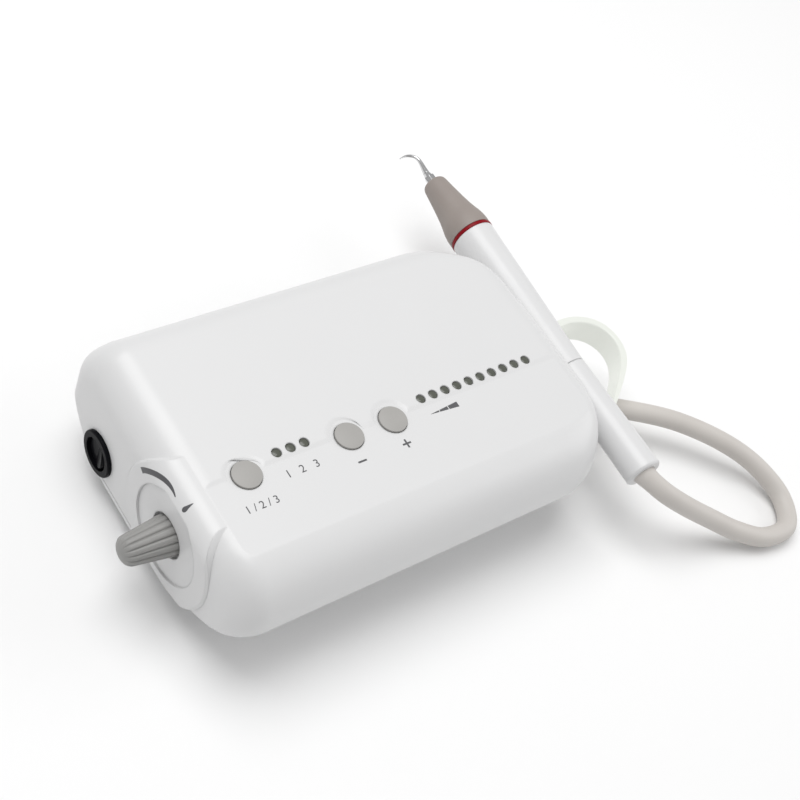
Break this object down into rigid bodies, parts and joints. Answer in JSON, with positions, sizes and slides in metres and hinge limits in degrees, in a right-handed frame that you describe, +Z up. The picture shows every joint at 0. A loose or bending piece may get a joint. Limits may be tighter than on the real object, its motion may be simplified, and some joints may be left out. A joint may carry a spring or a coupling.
{
  "type": "ultrasonic scaler",
  "caption": "Desktop ultrasonic dental scaler: white rounded control unit with buttons, lamps, water knob and rocker switch, and a corded handpiece resting in a side hook.",
  "frame": {"origin": "on the table, under the middle of the control unit's body", "axes": "+X to the right along the unit's front, +Y to the back, +Z up"},
  "size_m": [0.3054, 0.2335, 0.0589],
  "materials": {
    "white_case": "satin injection-moulded white plastic",
    "grey_button": "warm light grey satin",
    "grey_knob": "warm mid grey satin",
    "grey_nose": "warm grey satin",
    "red_ring": "dark red smooth",
    "black_switch": "black satin",
    "smoked_lens": "smoked, polished",
    "soft_hook": "translucent off-white silicone",
    "silicone_cable": "warm grey matte silicone",
    "black_rubber": "matte",
    "steel": "turned and polished",
    "brass": "machined",
    "circuit_board": "green solder mask",
    "dark_plastic": "moulded black",
    "copper_winding": "enamelled copper wire",
    "aluminium": "satin",
    "natural_plastic": "natural nylon",
    "clear_lens": "clear",
    "piezo_ceramic": "sintered"
  },
  "bodies": {
    "unit": {"base_cover": "white_case", "board_spacers": "natural_plastic", "button_switches": "dark_plastic", "cable_grommet": "black_rubber", "capacitors": "aluminium", "case_screws": "steel", "control_board": "circuit_board", "filter_element": "natural_plastic", "handpiece_cable": "silicone_cable", "handpiece_holder": "soft_hook", "heat_sink": "aluminium", "holder_screw": "steel", "inlet_filter_case": "natural_plastic", "inlet_tube": "natural_plastic", "lamp_diodes": "clear_lens", "light_pipes": "smoked_lens", "main_board": "circuit_board", "outlet_tube": "natural_plastic", "pedal_socket": "dark_plastic", "plunger_spring": "steel", "power_socket": "dark_plastic", "ribbon_cable": "natural_plastic", "ribbon_headers": "dark_plastic", "rocker_pin": "steel", "rubber_feet": "black_rubber", "socket_pins": "brass", "solenoid_coil": "dark_plastic", "solenoid_valve_body": "natural_plastic", "spindle_seal": "black_rubber", "switch_housing": "black_switch", "switch_terminals": "brass", "top_cover": "white_case", "transformer_coil": "copper_winding", "transformer_core": "steel", "valve_tube": "natural_plastic", "water_inlet_fitting": "natural_plastic", "water_valve_body": "brass"},
    "option_button": {"option_button": "grey_button"},
    "minus_button": {"minus_button": "grey_button"},
    "plus_button": {"plus_button": "grey_button"},
    "water_knob": {"water_knob": "grey_knob", "valve_spindle": "steel"},
    "power_rocker": {"power_rocker": "black_switch"},
    "solenoid_plunger": {"solenoid_plunger": "steel"},
    "cable_connector": {"connector_body": "white_case", "contact_pins": "brass", "connector_seal": "black_rubber", "cable_clamp": "dark_plastic"},
    "handpiece": {"handpiece_sleeve": "white_case", "marker_ring": "red_ring", "ultrasonic_horn": "steel", "piezo_discs": "piezo_ceramic", "electrodes": "brass", "back_mass": "steel", "clamp_bolt": "steel", "handpiece_seals": "black_rubber", "light_guide": "clear_lens"},
    "nose_cone": {"nose_cone": "grey_nose"},
    "scaler_tip": {"scaler_tip": "steel"}
  },
  "joints": [
    {"name": "option_button_press", "type": "slide", "parent": "unit", "child": "option_button", "axis": [0, 0, -1], "range_m": [0, 0.0008]},
    {"name": "minus_button_press", "type": "slide", "parent": "unit", "child": "minus_button", "axis": [0, 0, -1], "range_m": [0, 0.0008]},
    {"name": "plus_button_press", "type": "slide", "parent": "unit", "child": "plus_button", "axis": [0, 0, -1], "range_m": [0, 0.0008]},
    {"name": "water_knob_turn", "type": "hinge", "parent": "unit", "child": "water_knob", "pos_m": [-0.093, -0.0135, 0.034], "axis": [-1, 0, 0], "range_deg": [-135, 135]},
    {"name": "power_rocker_tip", "type": "hinge", "parent": "unit", "child": "power_rocker", "pos_m": [-0.0908, 0.0335, 0.02], "axis": [0, 0, 1], "range_deg": [0, 20]},
    {"name": "plunger_lift", "type": "slide", "parent": "unit", "child": "solenoid_plunger", "axis": [0, 0, 1], "range_m": [0, 0.002], "deforming": ["plunger_spring"]},
    {"name": "handpiece_lift", "type": "slide", "parent": "unit", "child": "cable_connector", "axis": [0, 0, 1], "range_m": [0, 0.045]},
    {"name": "handpiece_unplug", "type": "slide", "parent": "cable_connector", "child": "handpiece", "axis": [0.0279, 0.9996, 0], "range_m": [0, 0.02]},
    {"name": "nose_cone_unscrew", "type": "hinge", "parent": "handpiece", "child": "nose_cone", "pos_m": [0.10909, 0.08497, 0.034], "axis": [0.0279, 0.9996, 0], "range_deg": [0, 360]},
    {"name": "scaler_tip_unscrew", "type": "hinge", "parent": "handpiece", "child": "scaler_tip", "pos_m": [0.10937, 0.09497, 0.034], "axis": [0.0279, 0.9996, 0], "range_deg": [0, 360]}
  ]
}
